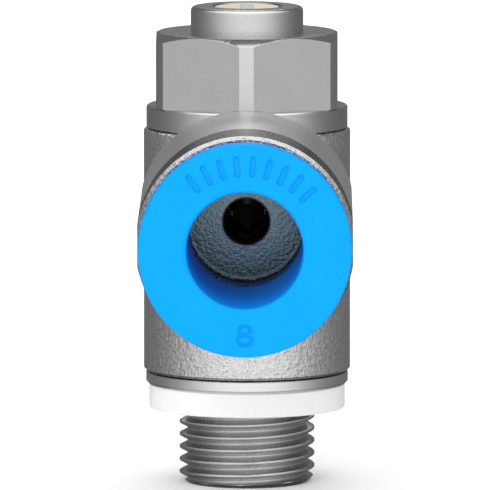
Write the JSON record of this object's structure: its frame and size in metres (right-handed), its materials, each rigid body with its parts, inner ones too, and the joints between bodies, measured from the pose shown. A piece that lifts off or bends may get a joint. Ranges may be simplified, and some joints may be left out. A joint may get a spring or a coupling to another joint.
{
  "type": "flow control valve",
  "caption": "Screw-in one-way flow control valve with a swivelling body, push-in tube port and a captive slotted regulating screw under a hexagon boss.",
  "frame": {"origin": "on the screw axis in the sealing plane, the underside of the white thread seal ring", "axes": "+Z along the screw axis from the thread to the hexagon, -Y along the tube port out of its mouth, +X to the right seen from the port"},
  "size_m": [0.015, 0.0361, 0.0343],
  "materials": {
    "screw_metal": "satin turned",
    "ring_metal": "polished",
    "cast_metal": "fine blasted, nickel plated",
    "brass": "turned",
    "claw_steel": "rolled",
    "white_plastic": "matt",
    "blue_plastic": "satin",
    "black_rubber": "matt",
    "black_plastic": "matt"
  },
  "bodies": {
    "screw_group": {"hollow_screw": "screw_metal", "flange_ring": "ring_metal", "thread_seal_ring": "white_plastic", "upper_body_o_ring": "black_rubber", "lower_body_o_ring": "black_rubber", "check_lip_seal": "black_rubber", "lip_seal_retainer": "claw_steel", "throttle_seat": "brass"},
    "needle_seal": {"regulating_screw_o_ring": "black_rubber"},
    "needle": {"regulating_screw": "brass"},
    "swivel": {"swivel_body": "cast_metal", "tube_o_ring": "black_rubber", "o_ring_spacer": "black_plastic", "grab_ring": "claw_steel", "grab_ring_support": "black_plastic", "cartridge_sleeve": "ring_metal"},
    "release": {"release_ring": "blue_plastic"}
  },
  "joints": [
    {"name": "swivel_turn", "type": "hinge", "parent": "screw_group", "child": "swivel", "pos_m": [0, 0, 0.01144], "axis": [0, 0, 1], "continuous": true},
    {"name": "needle_lift", "type": "slide", "parent": "screw_group", "child": "needle_seal", "axis": [0, 0, 1], "range_m": [-0.003, 0]},
    {"name": "needle_turn", "type": "hinge", "parent": "needle_seal", "child": "needle", "pos_m": [0, 0, 0.025], "axis": [0, 0, 1], "range_deg": [-2160, 0]},
    {"name": "release_push", "type": "slide", "parent": "swivel", "child": "release", "axis": [0, 1, 0], "range_m": [0, 0.0015], "stiffness_N_per_m": 3000}
  ],
  "couplings": [
    {"joint": "needle_turn", "follows": "needle_lift", "rad_per_m": 12566}
  ]
}
